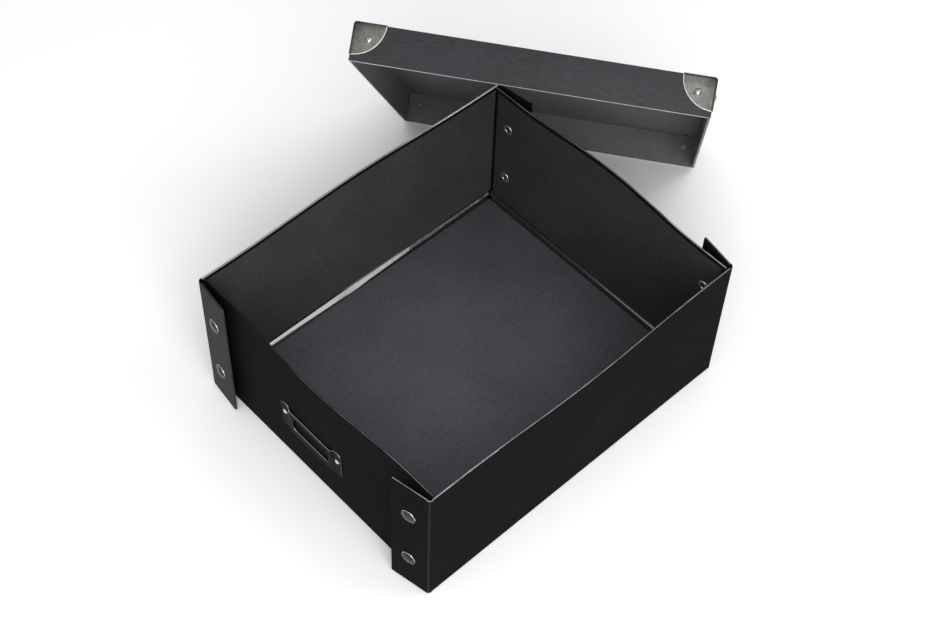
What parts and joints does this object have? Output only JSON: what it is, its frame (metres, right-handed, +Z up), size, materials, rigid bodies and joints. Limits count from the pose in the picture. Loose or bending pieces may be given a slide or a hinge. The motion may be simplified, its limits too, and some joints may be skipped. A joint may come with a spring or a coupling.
{
  "type": "storage box",
  "caption": "Flat-pack storage box of paper-covered board with press-stud corner flaps, a label holder and a lift-off lid with riveted metal corners.",
  "frame": {"origin": "centre of the box's underside, on the surface that it stands on", "axes": "+X across the width to the right of the label end, -Y out of the label end, +Z up"},
  "size_m": [0.3815, 0.4785, 0.2697],
  "materials": {
    "black_board": "matt fibre",
    "fold_paper": "creased matt",
    "floor_paper": "satin fibre",
    "lid_board": "matt fibre",
    "lining_paper": "satin fibre",
    "nickel": "polished nickel",
    "antique_nickel": "mottled antique nickel",
    "holder_metal": "dark gunmetal"
  },
  "bodies": {
    "box_base": {"base_board": "black_board", "floor_panel": "floor_paper", "left_wall": "black_board", "front_base_fold": "fold_paper", "back_base_fold": "fold_paper", "left_base_fold": "fold_paper", "right_base_fold": "fold_paper", "front_left_corner_fold": "fold_paper", "back_left_corner_fold": "fold_paper"},
    "right_wall": {"right_wall": "black_board", "front_right_corner_fold": "fold_paper", "back_right_corner_fold": "fold_paper"},
    "front_wall": {"front_wall": "black_board", "front_snap_studs": "nickel", "front_snap_eyelets": "nickel", "label_holder": "holder_metal", "label_holder_rivets": "nickel"},
    "back_wall": {"back_wall": "black_board", "back_snap_studs": "nickel", "back_snap_eyelets": "nickel"},
    "front_left_flap": {"front_left_flap": "black_board", "front_left_snap_caps": "nickel", "front_left_snap_sockets": "nickel"},
    "front_right_flap": {"front_right_flap": "black_board", "front_right_snap_caps": "nickel", "front_right_snap_sockets": "nickel"},
    "back_left_flap": {"back_left_flap": "black_board", "back_left_snap_caps": "nickel", "back_left_snap_sockets": "nickel"},
    "back_right_flap": {"back_right_flap": "black_board", "back_right_snap_caps": "nickel", "back_right_snap_sockets": "nickel"},
    "lid": {"lid_top_board": "lid_board", "lid_lining": "lining_paper", "lid_front_rim": "lid_board", "lid_back_rim": "lid_board", "lid_left_rim": "lid_board", "lid_right_rim": "lid_board", "lid_front_left_corner": "antique_nickel", "lid_front_right_corner": "antique_nickel", "lid_back_left_corner": "antique_nickel", "lid_back_right_corner": "antique_nickel", "lid_corner_rivets": "nickel"}
  },
  "joints": [
    {"name": "right_wall_fold", "type": "hinge", "parent": "box_base", "child": "right_wall", "pos_m": [0.124, 0, 0.003], "axis": [0, 1, 0], "range_deg": [0, 86], "deforming": ["right_base_fold"]},
    {"name": "front_wall_fold", "type": "hinge", "parent": "box_base", "child": "front_wall", "pos_m": [0, -0.145, 0.003], "axis": [-1, 0, 0], "range_deg": [0, 88], "deforming": ["front_base_fold"]},
    {"name": "back_wall_fold", "type": "hinge", "parent": "box_base", "child": "back_wall", "pos_m": [0, 0.145, 0.003], "axis": [1, 0, 0], "range_deg": [0, 88], "deforming": ["back_base_fold"]},
    {"name": "front_left_flap_fold", "type": "hinge", "parent": "box_base", "child": "front_left_flap", "pos_m": [-0.123, -0.149, 0], "axis": [0, 0, -1], "range_deg": [-7, 83], "deforming": ["front_left_corner_fold"]},
    {"name": "front_right_flap_fold", "type": "hinge", "parent": "right_wall", "child": "front_right_flap", "pos_m": [0.123, -0.149, 0], "axis": [0, 0, 1], "range_deg": [-11, 79], "deforming": ["front_right_corner_fold"]},
    {"name": "back_left_flap_fold", "type": "hinge", "parent": "box_base", "child": "back_left_flap", "pos_m": [-0.123, 0.149, 0], "axis": [0, 0, 1], "range_deg": [-8, 25], "deforming": ["back_left_corner_fold"]},
    {"name": "back_right_flap_fold", "type": "hinge", "parent": "right_wall", "child": "back_right_flap", "pos_m": [0.123, 0.149, 0], "axis": [0, 0, -1], "range_deg": [-10, 80], "deforming": ["back_right_corner_fold"]},
    {"name": "lid_lift", "type": "slide", "parent": "box_base", "child": "lid", "axis": [0, 0, 1], "range_m": [0, 0.15]}
  ]
}
